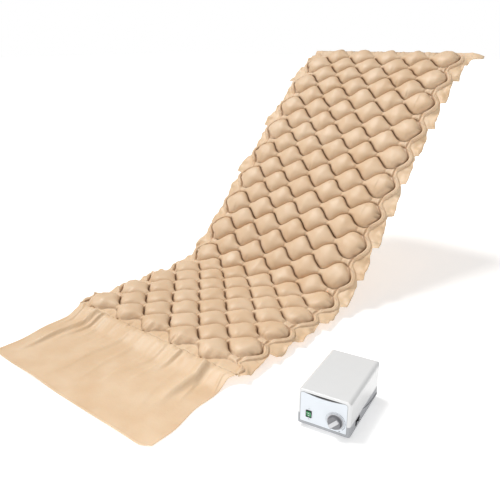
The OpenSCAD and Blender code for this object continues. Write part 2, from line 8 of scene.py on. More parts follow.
import bmesh
import bpy
import numpy as np
from mathutils import Matrix, Vector


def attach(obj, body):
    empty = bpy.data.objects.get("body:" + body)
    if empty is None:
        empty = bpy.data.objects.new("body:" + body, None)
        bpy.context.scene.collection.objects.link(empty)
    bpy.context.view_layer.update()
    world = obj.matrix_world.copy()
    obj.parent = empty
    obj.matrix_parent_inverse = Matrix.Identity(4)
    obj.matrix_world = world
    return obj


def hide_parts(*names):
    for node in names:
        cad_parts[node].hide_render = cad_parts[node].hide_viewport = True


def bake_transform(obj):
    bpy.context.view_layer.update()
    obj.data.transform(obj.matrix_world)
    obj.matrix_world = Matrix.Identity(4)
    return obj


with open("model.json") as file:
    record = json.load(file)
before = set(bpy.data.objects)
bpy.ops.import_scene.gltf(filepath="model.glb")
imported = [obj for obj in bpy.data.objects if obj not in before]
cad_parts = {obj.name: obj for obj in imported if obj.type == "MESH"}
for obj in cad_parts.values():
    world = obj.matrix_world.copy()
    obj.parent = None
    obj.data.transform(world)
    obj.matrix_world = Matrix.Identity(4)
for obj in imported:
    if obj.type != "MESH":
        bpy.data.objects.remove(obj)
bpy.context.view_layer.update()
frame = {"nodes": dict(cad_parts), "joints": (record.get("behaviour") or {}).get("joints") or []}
nodes = frame["nodes"]
joint_at = {j["name"]: j for j in frame["joints"]}

# ---------------------------------------------------------------- overlay's flat layout
PITCH = 0.146          # cell to cell along a row
ROW = 0.076            # row to row
CELLS = 5
HALF = (CELLS + 0.5) * PITCH / 2
WAVE = 0.0245          # how far a weld line swings either way
DOME = 0.0325          # height of a cell's crown above the weld
NECK = 0.0135          # height of a neck
UNDER = 0.0294         # depth at which the cells rest flat
SKIN = 0.0005          # half the thickness of the welded films
FOOT_ROWS, BACK_ROWS, HEAD_ROWS = 8, 15, 3
ROWS = FOOT_ROWS + BACK_ROWS + HEAD_ROWS
BEND = 0.105           # reach of a bend on each side of its fold line
MARGIN = 0.024         # welded film beyond the first and last rows
TUBE_MID = 0.3925      # the edge tube's middle, how far it swings either way, and its radius
TUBE_SWING = 0.0195
TUBE_R = 0.0102
PORT_X = 0.4115        # where the edge tube leaves at the foot
END_X = HALF - PITCH / 2               # middle of the end cells
TUBE_FROM, TUBE_TO, HEM_TO = 0.385, 0.412, 0.440   # the grid's columns for the tube and the hem
HEM_X = 0.427          # reach of the loose hem beside a bulge
LINES_PER_ROW = 15
MARGIN_LINES = 8
PAST_WELD = 0.001      # keeps a margin's lines off the outer weld

fold_foot = Vector(joint_at["back_bend"]["pos_m"])
fold_head = Vector(joint_at["head_bend"]["pos_m"])
fold_tip = Vector(joint_at["head_flap_fold"]["pos_m"])
WELD_Z = fold_foot.z
BACK_ANGLE = math.atan2(fold_head.z - fold_foot.z, fold_head.y - fold_foot.y)
HEAD_ANGLE = math.atan2(fold_tip.z - fold_head.z, fold_tip.y - fold_head.y)
FOLD_1 = FOOT_ROWS * ROW
FOLD_2 = (FOOT_ROWS + BACK_ROWS) * ROW
LENGTH = ROWS * ROW


def fold(v, n, at, angle):
    """Bends the plane (v along, n above the weld) round a fold line, as an arc."""
    radius = BEND / math.tan(angle / 2)
    share = np.clip((v - (at - BEND)) / (2 * BEND), 0, 1)
    a = angle * share
    arc_v = at - BEND + (radius - n) * np.sin(a)
    arc_n = radius - (radius - n) * np.cos(a)
    far_v = at + (v - at) * math.cos(angle) - n * math.sin(angle)
    far_n = (v - at) * math.sin(angle) + n * math.cos(angle)
    out_v = np.where(share <= 0, v, np.where(share >= 1, far_v, arc_v))
    out_n = np.where(share <= 0, n, np.where(share >= 1, far_n, arc_n))
    return out_v, out_n


def place(x, v, n):
    """Points of the assembly's frame from places on the flat overlay and heights over the weld."""
    v, n = fold(v, n, FOLD_2, HEAD_ANGLE - BACK_ANGLE)
    v, n = fold(v, n, FOLD_1, BACK_ANGLE)
    return np.stack([x, v, n + WELD_Z], -1)


def smooth(a, lo, hi):
    s = np.clip((a - lo) / (hi - lo), 0, 1)
    return s * s * (3 - 2 * s)


def ripple(x, y, wave, seed, count=7):
    """Smooth noise of about -1 to 1 with the given wavelength."""
    rng = np.random.RandomState(seed)
    total = 0
    for _ in range(count):
        turn, phase = rng.uniform(0, 2 * math.pi, 2)
        k = 2 * math.pi / (wave * rng.uniform(0.7, 1.5))
        total = total + np.sin(k * (x * math.cos(turn) + y * math.sin(turn)) + phase)
    return total / math.sqrt(count)


def clustered(count, pull):
    """count steps from 0 to 1, closer together at both ends."""
    s = np.arange(count) / count
    return s - pull * np.sin(2 * math.pi * s)


def overlay_columns():
    """Places across the overlay, fine at the necks, then the tube's and the hem's columns."""
    half_pitch = PITCH / 2
    inner = [-HALF + half_pitch + half_pitch * (k + clustered(14, 0.085))
             for k in range(2 * CELLS - 1)]
    right = np.concatenate([
        END_X + (TUBE_FROM - END_X) * np.sin(math.pi / 2 * np.arange(20) / 20),
        TUBE_FROM + (TUBE_TO - TUBE_FROM) * (1 - np.cos(math.pi * np.arange(13) / 13)) / 2,
        TUBE_TO + (HEM_TO - TUBE_TO) * np.arange(9) / 8,
    ])
    left = -right[::-1]
    return np.concatenate([left[:-1], *inner, right])


def overlay_lines(first, last):
    """(row, t) of each line along the overlay. t is -1 to 1 in a row and past that in a margin."""
    margin = [1 + PAST_WELD + k / MARGIN_LINES for k in range(1, MARGIN_LINES + 1)]
    s = np.arange(LINES_PER_ROW) / LINES_PER_ROW
    t = -np.cos(math.pi * (0.06 + 0.88 * s)) / math.cos(math.pi * 0.06)
    t[0] = -1
    lines = [(0, -q) for q in reversed(margin)] if first == 0 else []
    lines += [(row, float(q)) for row in range(first, last + 1) for q in t]
    lines.append((last, 1.0))
    if last == ROWS - 1:
        lines += [(last, q) for q in margin]
    return lines


def full_side(row):
    """+1 where the row's full end cell is at the right edge, else -1: the other end is a stub."""
    return np.where(row % 2 == 1, 1, -1)


def row_phase(x, row):
    """1 at the middle of a row's cells, -1 at its necks, easing off outside the last cells."""
    start = (PITCH if row % 2 else PITCH / 2) - HALF
    wave = np.cos(2 * math.pi * (x - start) / PITCH)
    r = np.clip((np.abs(x) - END_X) / (PITCH / 2), 0, 1)
    full = np.sign(x) == full_side(row)
    outer = np.where(full, 1, -1) * (1 - r ** 3)
    return np.where(np.abs(x) > END_X, outer, wave)


def tube_line(side, v):
    """The edge tube's middle, slope, how far it bulges (0 at stubs) and its place in its period."""
    full_row_v = ROW * (1.5 if side > 0 else 0.5)
    turn = math.pi * (v - full_row_v) / ROW
    to_port = smooth(-v, -0.034, -0.002)
    mid = TUBE_MID + TUBE_SWING * np.cos(turn)
    mid = mid + 0.0012 * ripple(v, v * 0, 0.05, 71 + side)
    lean = TUBE_SWING * math.pi / ROW * np.abs(np.sin(turn))
    bulge = (1 + np.cos(turn)) / 2
    place_in_period = (turn / (2 * math.pi) + 0.5) % 1
    return (mid * (1 - to_port) + PORT_X * to_port, lean * (1 - to_port), bulge, place_in_period)


def hem_line(side, v, inner):
    """Outer edge of the loose hem: drifts out towards the foot to a tab, then steps back in."""
    _, _, _, u = tube_line(side, v)
    period = np.floor((v / ROW - (1.5 if side > 0 else 0.5)) / 2 + 0.5).astype(int)
    past = (0.5 - u) % 1
    bulge = np.clip(np.where(u <= 0.5, period, period + 1), 0, ROWS // 2)
    rng = np.random.RandomState(81 + side)
    tip = rng.uniform(0.012, 0.026, ROWS) if side > 0 else rng.uniform(0.002, 0.012, ROWS)
    if side < 0:
        tip[[8, 10, 12]] = 0.030       # three longer tabs on the left edge
    last = rng.uniform(0.80, 0.90, ROWS)[bulge]
    out = HEM_X + tip[bulge] * np.clip(past / last, 0, 1) ** 0.8
    lobe = inner + np.maximum(out - inner, 0) * (1 - smooth(past, last, last + 0.035))
    if side > 0:                       # the drawn-out corner at the head
        lobe = lobe + 0.048 * smooth(v, LENGTH - 0.080, LENGTH + 0.012)
    return lobe + 0.0015 * ripple(v, v * 0, 0.045, 83 + side)


def lay_edges(x0, x, v):
    """Past the end cells the columns follow the edge tube and the hem.

    Gives x, the tube's height, where each cell's closed end lies, and how far over the tube and the
    hem each column is.
    """
    to_tube = np.clip((np.abs(x0) - END_X) / (TUBE_FROM - END_X), 0, 1)
    over_tube = np.clip((np.abs(x0) - TUBE_FROM) / (TUBE_TO - TUBE_FROM), 0, 1)
    over_hem = np.clip((np.abs(x0) - TUBE_TO) / (HEM_TO - TUBE_TO), 0, 1)
    side = np.sign(x0)
    tube_n = np.zeros_like(v)
    gap_x = np.full_like(v, HALF)
    for s in (-1, 1):
        mid, lean, bulge, _ = tube_line(s, v)
        run = smooth(v, -0.020, -0.004) * (1 - smooth(v, LENGTH - 0.040, LENGTH - 0.004))
        pinch = smooth(bulge, 0.0, 0.22)
        radius = TUBE_R * (0.50 + 0.50 * pinch) * (0.52 + 0.48 * run)
        across = radius * np.sqrt(1 + lean ** 2)
        near_x, far_x = mid - across, mid + across
        hem_x = hem_line(s, v, far_x + 0.004)
        route = END_X + to_tube * (near_x - END_X) + over_tube * (far_x - near_x) \
            + over_hem * (hem_x - far_x)
        x = np.where((side == s) & (np.abs(x0) > END_X), s * route, x)
        q = np.abs(2 * over_tube - 1)
        round_n = np.sqrt(np.clip(1 - q ** 2, 0, 1)) * radius * (0.45 + 0.65 * pinch)
        round_n = round_n * (1 + 0.10 * ripple(x, v, 0.03, 75))
        round_n = round_n * (1 - 0.22 * np.exp(-((over_tube - 0.66) / 0.09) ** 2))
        ends = smooth(v, -0.024, -0.018) * (1 - smooth(v, LENGTH - 0.012, LENGTH + 0.004))
        tube_n = np.where(side == s, round_n * ends, tube_n)
        gap_x = np.where(side == s, near_x - 0.0015, gap_x)
    return x, tube_n, gap_x, over_tube, over_hem


def cell_heights(x, v, t, rows, phase, gap_x, over_tube, beyond):
    """Height of the cells and necks over the weld, and the weight of the painted shade laid along
    the welds.
    """
    half_w = ROW / 2 + WAVE * phase
    r = np.clip((np.abs(x) - END_X) / (gap_x - END_X), 0, 1)
    full = np.sign(x) == full_side(rows)
    outside = np.abs(x) > END_X
    lift = ((1 + np.clip(phase, -1, 1)) / 2) ** 0.62
    crown = NECK + (DOME - NECK) * lift
    crown = crown * (1 + 0.035 * ripple(x, v, 0.16, 21))
    arch = np.clip(1 - np.abs(t) ** 2.7, 0, 1) ** 0.52
    n = crown * arch
    closed = DOME * np.clip(1 - np.abs(t) ** 2.6 - r ** 3.4, 0, 1) ** 0.5
    stub = 0.0105 * arch * (1 - 0.25 * smooth(r, 0.3, 0.8)) * (1 - smooth(r, 0.86, 1.0))
    n = np.where(outside & full, closed, n)
    n = np.where(outside & ~full, stub, n)
    n = np.where(beyond, 0, n)

    # painted shade along the weld creases, wider and darker where a weld line runs back towards the
    # foot
    weld = (1 - np.abs(t)) * half_w
    slope = np.gradient(v, axis=1) / np.maximum(np.gradient(x, axis=1), 1e-4)
    runs_back = smooth(-slope, -0.15, 0.65)
    painted_shade = np.exp(-(weld / (0.0020 + 0.0034 * runs_back)) ** 2) * (0.38 + 0.62 * runs_back)
    # the painted shade fades off past the end cells and is left out of the margins
    painted_shade = painted_shade * ~beyond * (1 - 0.75 * smooth(np.abs(x), END_X, 0.39))
    # painted shade in the groove between a closed end cell and the edge tube
    groove = np.exp(-((np.abs(x) - gap_x) / 0.0030) ** 2) * (outside & full & ~beyond)
    painted_shade = np.maximum(painted_shade, 0.8 * groove)

    # pinched necks: a stitch across, and folds that fan out into the cells
    start = np.where(rows % 2 == 1, PITCH / 2, 0.0) - HALF
    to_neck = (x - start + PITCH / 2) % PITCH - PITCH / 2
    near = np.exp(-(to_neck / 0.0032) ** 2) * ~(outside & full)
    wide = np.exp(-(to_neck / 0.020) ** 2) * ~(outside & full)
    n = n * (1 - 0.30 * near)
    fan = np.cos(2 * math.pi * (1.6 * t + 0.35 * ripple(x * 0 + rows * 3.1, x, 0.5, 31)))
    n = n + 0.0011 * fan * wide * np.clip(1 - t * t, 0, 1)
    # creases that start at the weld lines, and soft dents of the film
    crease = np.abs(ripple(x * 5, v, 0.052, 41)) ** 3
    n = n - 0.0011 * crease * np.clip(arch, 0, 1) * smooth(np.abs(t), 0.35, 0.85)
    n = n + 0.0007 * ripple(x, v, 0.045, 51) * arch * (n > 0.004)
    # sharp puckers at the closed ends, with painted shade in them
    own = outside & full & ~beyond & (over_tube <= 0)
    for k in range(3):
        at = np.random.RandomState(61 + k).uniform(-0.75, 0.75, ROWS)[rows]
        notch = np.exp(-((t - at) / 0.065) ** 2) * smooth(r, 0.50, 0.95)
        n = np.where(own, n * (1 - 0.70 * notch), n)
        painted_shade = np.maximum(painted_shade, 0.8 * notch ** 2 * own)
    # the outer weld of the first and the last row is gathered into small notches, and the painted
    # shade along it fades between them
    for row, sign in ((0, -1), (ROWS - 1, 1)):
        rim = (rows == row) & ~beyond & (over_tube <= 0)
        gather = smooth(sign * t, 0.35, 0.98) * rim
        notch = np.clip(ripple(x * 1.3, x * 0.2, 0.030, 93 + row), 0, 1) ** 2
        n = n * (1 - gather * (0.18 + 0.45 * notch))
        painted_shade = painted_shade * (1 - 0.55 * gather * (1 - notch))
    return n, painted_shade, arch


def overlay_points(first, last):
    """Top and bottom grids (lines, columns, 3) of rows first to last, and the weight of the painted
    shade along their welds.
    """
    x0 = overlay_columns()
    lines = overlay_lines(first, last)
    rows = np.array([row for row, _ in lines])[:, None]
    t0 = np.array([t for _, t in lines])[:, None]
    x = np.broadcast_to(x0, (len(lines), len(x0))).copy()
    phase = np.stack([row_phase(x0, int(row)) for row in rows[:, 0]])
    t = np.clip(t0, -1, 1) + 0 * x
    v = (rows + 0.5) * ROW + t * (ROW / 2 + WAVE * phase)
    beyond = np.abs(t0) > 1
    edge_v = np.where(t0 < 0, -MARGIN, LENGTH + MARGIN)
    share = np.clip(np.abs(t0) - 1, 0, 1)
    v = np.where(beyond, v * (1 - share) + edge_v * share, v)
    # the weld lines wander a little
    calm = smooth(MARGIN / 2 + v, 0, 0.02) * smooth(LENGTH + MARGIN / 2 - v, 0, 0.02)
    inside = 1 - smooth(np.abs(x), 0.405, 0.43)
    v = v + 0.0016 * ripple(x, v, 0.07, 11) * calm * inside
    x = x + 0.0016 * ripple(x, v, 0.08, 12) * inside

    x, tube_n, gap_x, over_tube, over_hem = lay_edges(x0[None, :], x, v)
    n, painted_shade, arch = cell_heights(x, v, t, rows, phase, gap_x, over_tube, beyond)
    n = np.where(over_tube > 0, tube_n, n)

    # the loose hem waves and droops, and the welded margins at the foot and the head pucker too
    rise = smooth(over_hem, 0.0, 1.0) * (np.abs(x) > END_X)
    sway = 0.0060 * ripple(v, x * 0.6, 0.085, 85) + 0.0035 * ripple(v, x, 0.035, 87) - 0.004
    n_mid = sway * rise
    for at, sign in ((-MARGIN, 1), (LENGTH + MARGIN, -1)):
        ease = 1 - smooth(sign * (v - at), 0.004, 0.05)
        n_mid = n_mid + ease * (1 - arch * (np.abs(t0) <= 1)) * 0.0022 \
            * ripple(x, v * 0.35, 0.028, 91) * (1 - smooth(np.abs(x), 0.38, 0.42))

    flat = np.maximum(n, 0)
    top = place(x, v, n_mid + flat + SKIN)
    bottom = place(x, v, np.maximum(n_mid - flat * 0.97 - SKIN, -UNDER))
    return top, bottom, painted_shade


def grid_faces(lines, cols, start=0, flip=False):
    """Quads of a grid of points."""
    a = start + np.arange(lines - 1)[:, None] * cols + np.arange(cols - 1)[None, :]
    quads = np.stack([a, a + 1, a + cols + 1, a + cols], -1).reshape(-1, 4)
    return quads[:, ::-1] if flip else quads


def shell_faces(lines, cols):
    """Top and bottom grids of the same size, closed round their rim."""
    size = lines * cols
    rim = np.concatenate([
        np.arange(cols),
        np.arange(1, lines) * cols + cols - 1,
        (lines - 1) * cols + np.arange(cols - 2, -1, -1),
        np.arange(lines - 2, 0, -1) * cols,
    ])
    after = np.roll(rim, -1)
    wall = np.stack([rim, rim + size, after + size, after], -1)
    return np.concatenate([grid_faces(lines, cols), grid_faces(lines, cols, size, True), wall])


def add_mesh(name, points, faces):
    mesh = bpy.data.meshes.new(name)
    mesh.from_pydata([tuple(p) for p in np.asarray(points, float).reshape(-1, 3)], [],
                     [tuple(int(i) for i in f) for f in faces])
    mesh.validate()
    mesh.polygons.foreach_set("use_smooth", [True] * len(mesh.polygons))
    mesh.update()
    piece = bpy.data.objects.new(name, mesh)
    bpy.context.scene.collection.objects.link(piece)
    return piece


def shell_piece(name, top, bottom, painted_shade=None):
    """A closed shell from two grids, with the weight of the painted shade at each point."""
    lines, cols = top.shape[:2]
    points = np.concatenate([top.reshape(-1, 3), bottom.reshape(-1, 3)])
    piece = add_mesh(name, points, shell_faces(lines, cols))
    # the painted shade's weight at each point, the same on both faces
    depth = np.zeros(lines * cols) if painted_shade is None else painted_shade.ravel()
    layer = piece.data.attributes.new("painted_shade", "FLOAT", "POINT")
    layer.data.foreach_set("value", np.concatenate([depth, depth]))
    return piece


# ---------------------------------------------------------------- materials
PAINTED_SHADE_TINT = (0.22, 0.13, 0.07, 1)      # brown of the painted shade in the weld creases
MIX_A, MIX_B, MIX_RESULT = 6, 7, 2     # the colour sockets of a Mix node


def new_material(name, color, rough, metallic=0.0, **inputs):
    m = bpy.data.materials.new(name)
    m.use_nodes = True
    shader = m.node_tree.nodes["Principled BSDF"]
    shader.inputs["Base Color"].default_value = (*color, 1)
    shader.inputs["Roughness"].default_value = rough
    shader.inputs["Metallic"].default_value = metallic
    for key, value in inputs.items():
        shader.inputs[key.replace("_", " ")].default_value = value
    return m


def node_of(m, kind, **values):
    n = m.node_tree.nodes.new(kind)
    for key, value in values.items():
        if key in n.inputs:
            n.inputs[key].default_value = value
        else:
            setattr(n, key, value)
    return n


def link(m, a, out, b, socket):
    m.node_tree.links.new(a.outputs[out], b.inputs[socket])


def vary(m, color_a, color_b, scale, detail=3.0):
    """Base colour that drifts between two close colours."""
    shader = m.node_tree.nodes["Principled BSDF"]
    where = node_of(m, "ShaderNodeTexCoord")
    noise = node_of(m, "ShaderNodeTexNoise", Scale=scale, Detail=detail)
    ramp = node_of(m, "ShaderNodeValToRGB")
    ramp.color_ramp.elements[0].position = 0.35
    ramp.color_ramp.elements[1].position = 0.65
    ramp.color_ramp.elements[0].color = (*color_a, 1)
    ramp.color_ramp.elements[1].color = (*color_b, 1)
    link(m, where, "Object", noise, "Vector")
    link(m, noise, "Fac", ramp, "Fac")
    link(m, ramp, "Color", shader, "Base Color")


def roughen(m, scale, low, high):
    """Roughness that drifts between low and high."""
    shader = m.node_tree.nodes["Principled BSDF"]
    where = node_of(m, "ShaderNodeTexCoord")
    noise = node_of(m, "ShaderNodeTexNoise", Scale=scale, Detail=2.0)
    span = node_of(m, "ShaderNodeMapRange")
    span.inputs["To Min"].default_value = low
    span.inputs["To Max"].default_value = high
    link(m, where, "Object", noise, "Vector")
    link(m, noise, "Fac", span, "Value")
    link(m, span, "Result", shader, "Roughness")


def bump(m, layers):
    """Bump from (scale, distance, kind) layers: kind is noise, or the axis of fine bands."""
    shader = m.node_tree.nodes["Principled BSDF"]
    where = node_of(m, "ShaderNodeTexCoord")
    before = None
    for scale, distance, kind in layers:
        if kind == "noise":
            tex = node_of(m, "ShaderNodeTexNoise", Scale=scale, Detail=4.0)
        else:
            tex = node_of(m, "ShaderNodeTexWave", Scale=scale, Distortion=0.4)
            tex.bands_direction = kind
        link(m, where, "Object", tex, "Vector")
        step = node_of(m, "ShaderNodeBump", Strength=1.0, Distance=distance)
        link(m, tex, "Fac", step, "Height")
        if before is not None:
            link(m, before, "Normal", step, "Normal")
        before = step
    link(m, before, "Normal", shader, "Normal")


def film_material():
    """Pale beige film, with a brown painted shade multiplied in along the weld creases."""
    m = new_material("pvc_film", (0.70, 0.49, 0.29), 0.45, Subsurface_Weight=0.08,
                     Subsurface_Scale=0.008, Coat_Weight=0.05, Coat_Roughness=0.30,
                     Specular_IOR_Level=0.35)
    shader = m.node_tree.nodes["Principled BSDF"]
    shader.inputs["Subsurface Radius"].default_value = (1.0, 0.55, 0.30)
    vary(m, (0.690, 0.485, 0.308), (0.745, 0.552, 0.376), 9.0)
    base = shader.inputs["Base Color"].links[0].from_node
    # the painted shade's weight, multiplied in as brown over the film's colour
    depth = node_of(m, "ShaderNodeAttribute", attribute_name="painted_shade")
    painted_shade_mix = node_of(m, "ShaderNodeMix", data_type="RGBA", blend_type="MULTIPLY")
    link(m, depth, "Fac", painted_shade_mix, "Factor")
    link(m, base, "Color", painted_shade_mix, MIX_A)
    painted_shade_mix.inputs[MIX_B].default_value = PAINTED_SHADE_TINT
    link(m, painted_shade_mix, MIX_RESULT, shader, "Base Color")
    roughen(m, 30.0, 0.42, 0.56)
    bump(m, [(900.0, 0.00006, "noise"), (90.0, 0.0005, "noise")])
    return m


def plastic(name, color, rough, grain=2500.0, depth=0.00003, drift=0.02, **inputs):
    """Moulded or painted surface with a fine grain and a slight drift of colour."""
    m = new_material(name, color, rough, **inputs)
    dark = tuple(max(0, c * (1 - drift)) for c in color)
    light = tuple(min(1, c * (1 + drift)) for c in color)
    vary(m, dark, light, 25.0)
    roughen(m, 60.0, rough * 0.85, rough * 1.15)
    bump(m, [(grain, depth, "noise")])
    return m


def metal(name, color, rough, brush="X", scale=900.0, depth=0.00002):
    """Metal with fine bands across the given axis."""
    m = new_material(name, color, rough, metallic=1.0)
    vary(m, tuple(c * 0.93 for c in color), color, 40.0)
    roughen(m, 120.0, rough * 0.8, rough * 1.25)
    bump(m, [(scale, depth, brush)])
    return m


film = film_material()
white_shell = plastic("shell_white", (0.72, 0.725, 0.73), 0.24, drift=0.006, Coat_Weight=0.25)
panel_white = plastic("panel_white", (0.72, 0.76, 0.81), 0.30, drift=0.006)
case_grey = plastic("case_grey", (0.36, 0.37, 0.39), 0.45, 1400.0, 0.00008)
cover_grey = plastic("grille_grey", (0.33, 0.34, 0.36), 0.5, 1400.0, 0.00008)
dark_trim = plastic("trim_dark", (0.045, 0.040, 0.040), 0.45)
scale_plate = plastic("scale_plate", (0.80, 0.82, 0.84), 0.35, drift=0.005)
knob_grey = plastic("knob_grey", (0.20, 0.20, 0.215), 0.36)
knob_bar = plastic("knob_bar_grey", (0.60, 0.60, 0.62), 0.28)
switch_black = plastic("switch_black", (0.012, 0.012, 0.013), 0.25)
rocker_green = plastic("rocker_green", (0.010, 0.22, 0.065), 0.22, Coat_Weight=0.5)
rubber = plastic("rubber_black", (0.015, 0.015, 0.016), 0.62, 800.0, 0.00012)
ivory = plastic("chamber_ivory", (0.70, 0.67, 0.56), 0.45)
orange = plastic("rotor_orange", (0.72, 0.20, 0.025), 0.4)
board = plastic("board_green", (0.010, 0.095, 0.030), 0.35, 700.0, 0.00015)
felt = plastic("filter_felt", (0.72, 0.72, 0.66), 0.9, 1200.0, 0.0006, 0.08)
magnet = plastic("magnet_dark", (0.030, 0.030, 0.035), 0.4, 1500.0, 0.0001)
steel = metal("steel_bright", (0.62, 0.63, 0.65), 0.28)
zinc = metal("steel_zinc", (0.55, 0.57, 0.60), 0.38, "Y")
wire = metal("wire_grey", (0.30, 0.30, 0.31), 0.35)
chrome = metal("nozzle_chrome", (0.74, 0.75, 0.77), 0.12, "Z", 2500.0, 0.00001)
brass = metal("brass", (0.70, 0.50, 0.18), 0.3, "Y")
copper = metal("copper_wire", (0.62, 0.25, 0.10), 0.35, "Z", 1500.0, 0.0004)
iron = metal("laminations", (0.12, 0.12, 0.13), 0.55, "Z", 1400.0, 0.0003)
mark_dark = plastic("mark_dark", (0.05, 0.055, 0.06), 0.5)
joint_grey = plastic("joint_grey", (0.22, 0.225, 0.23), 0.5)
mark_white = plastic("mark_white", (0.85, 0.88, 0.86), 0.4)

node_material = {
    "overlay_port_left": plastic("port_beige", (0.62, 0.45, 0.29), 0.35),
    "lower_case": case_grey, "upper_case": white_shell, "front_panel": panel_white,
    "brow_recess": dark_trim, "scale_ring": scale_plate, "pressure_knob": knob_grey,
    "knob_grip_bar": knob_bar, "knob_spindle": steel, "regulator_body": brass,
    "switch_bezel": switch_black, "rocker": rocker_green, "rocker_pin": steel,
    "rubber_feet": rubber, "foot_screws": steel, "case_screws": steel, "hanging_bail": wire,
    "outlet_port": dark_trim, "outlet_nozzle_a": chrome, "outlet_nozzle_b": chrome,
    "mains_gland": rubber, "air_filter": felt, "filter_cover": cover_grey,
    "chassis_plate": zinc, "rubber_mounts": rubber, "magnet_core": iron,
    "magnet_coil": copper, "pivot_bracket": zinc, "armature_left": steel,
    "armature_right": steel, "armature_magnets_left": magnet, "armature_magnets_right": magnet,
    "bellows_left": rubber, "bellows_right": rubber, "valve_chambers": ivory,
    "valve_seat": ivory, "valve_rotor": orange, "timing_motor": zinc, "circuit_board": board,
}
node_material["overlay_port_right"] = node_material["overlay_port_left"]
for name, piece in nodes.items():
    piece.data.materials.clear()
    piece.data.materials.append(node_material.get(name, film))


def bevel(name, width):
    """Rounds a CAD node's edges that are sharper than 35 degrees."""
    cut = nodes[name].modifiers.new("soft_edges", "BEVEL")
    cut.width = width
    cut.segments = 3
    cut.limit_method = "ANGLE"
    cut.angle_limit = math.radians(35)
    cut.harden_normals = False


# ---------------------------------------------------------------- overlay
SPLIT = 12             # the two film pieces meet along the weld below this row
foot_top, foot_bottom, foot_painted_shade = overlay_points(0, SPLIT - 1)
head_top, head_bottom, head_painted_shade = overlay_points(SPLIT, ROWS - 1)
# each film piece takes the weight of its painted shade along the welds as an attribute
overlay_foot = shell_piece("overlay_film_foot", foot_top, foot_bottom, foot_painted_shade)
overlay_head = shell_piece("overlay_film_head", head_top, head_bottom, head_painted_shade)
for piece in (overlay_foot, overlay_head):
    piece.data.materials.append(film)
SECTION_NODES = ("air_cells_a", "air_cells_b", "weld_web", "side_hems", "air_channel_left",
                 "air_channel_right")
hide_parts(*["foot_" + n for n in SECTION_NODES])
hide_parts(*[s + n for s in ("back_", "head_") for n in SECTION_NODES])
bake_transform(overlay_foot)
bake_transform(overlay_head)

# foot flap: the bottom film carried on, dropping to the mattress and lying there
FLAP_L = 0.400
FLAP_Z = 0.0012        # the film's middle where it lies on the mattress
FLAP_FOLDS = (         # x and length of each end of a fold, its width and its height
    (-0.285, 0.005, -0.345, 0.33, 0.020, 0.020),
    (-0.255, 0.012, -0.290, 0.22, 0.014, 0.012),
    (0.300, 0.030, 0.285, 0.22, 0.026, 0.024),
    (0.175, 0.020, 0.150, 0.12, 0.018, 0.014),
    (0.10, 0.03, 0.04, 0.34, 0.022, 0.005),
    (-0.08, 0.05, -0.13, 0.38, 0.024, 0.005),
)
on_flap = np.abs(overlay_columns()) <= HALF + 1e-6
flap_x = overlay_columns()[on_flap]
flap_s = np.concatenate([np.arange(0, 0.06, 0.004), np.arange(0.06, FLAP_L + 1e-6, 0.00654)])


def crease(x, s, x0, s0, x1, s1, width, height):
    """A fold along the line from (x0, s0) to (x1, s1): steep on one side, fading at its far end."""
    dx, ds = x1 - x0, s1 - s0
    long = math.hypot(dx, ds)
    share = np.clip(((x - x0) * dx + (s - s0) * ds) / long ** 2, 0, 1)
    off = ((x - x0) * ds - (s - s0) * dx) / long
    over = np.hypot(x - x0 - share * dx, s - s0 - share * ds) * np.where(off > 0, 2.6, 1)
    return height * np.exp(-(over / width) ** 2) * (1 - 0.85 * share ** 2)


def flap_points():
    """The foot flap's middle surface, from the overlay's edge to its own end."""
    x, s = np.meshgrid(flap_x, flap_s)
    z = FLAP_Z + (WELD_Z - FLAP_Z) * (1 - smooth(s, 0.0, 0.085))
    rng = np.random.RandomState(5)
    lying = smooth(s, 0.01, 0.09)
    rise = 0.0026 * (0.6 + ripple(x, s * 0.35, 0.24, 3)) * lying
    rise = rise + 0.0014 * np.abs(ripple(x, s * 0.25, 0.055, 4)) * (1 - smooth(s, 0.05, 0.22))
    # a small fold runs out from every neck and every cell of the first row
    for k in range(2 * CELLS + 1):
        neck = -HALF + PITCH / 2 * (k + 0.5) + rng.uniform(-0.01, 0.01)
        rise = rise + crease(x, s, neck, 0.004, neck * 1.06 + rng.uniform(-0.03, 0.03),
                             rng.uniform(0.10, 0.34), rng.uniform(0.007, 0.012),
                             rng.uniform(0.003, 0.007))
    for line in FLAP_FOLDS:
        rise = rise + crease(x, s, *line)
    # the edges are a little thicker and curl up
    rise = rise + 0.0022 * smooth(np.abs(x), 0.385, 0.400) * lying
    rise = rise + 0.0022 * smooth(s, 0.385, 0.399)
    z = z + np.maximum(rise, 0) * smooth(s, 0.0, 0.02)
    # rounded corners, and the flap drifts a little to one side
    corner = smooth(np.abs(x), 0.350, HALF) ** 2 * smooth(s, 0.25, 0.40)
    v = -MARGIN - s * (1 + 0.010 * np.cos(math.pi * x / 0.8)) + 0.016 * corner
    x = x + (0.004 * ripple(s, s * 0, 0.20, 6) + 0.10 * s) * smooth(s, 0.02, 0.15)
    # the first line is the overlay's own edge
    seam = foot_top[0][on_flap]
    hold = 1 - smooth(s, 0.0, 0.03)
    x = x * (1 - hold) + seam[None, :, 0] * hold
    z = z + hold * (seam[None, :, 2] - SKIN - WELD_Z)
    return np.stack([x, v, z], -1)


flap_mid = flap_points()[::-1]         # from the flap's end to the seam, as the overlay's lines run
half_skin = np.array([0, 0, SKIN])
foot_flap = shell_piece("foot_flap_film", flap_mid + half_skin, flap_mid - half_skin)
foot_flap.data.materials.append(film)
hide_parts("foot_flap")
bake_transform(foot_flap)


# head sheet: turned down over the head end and tucked back under the cells
TURNED = 0.045         # up to this length the sheet hangs, past it it lies under the cells


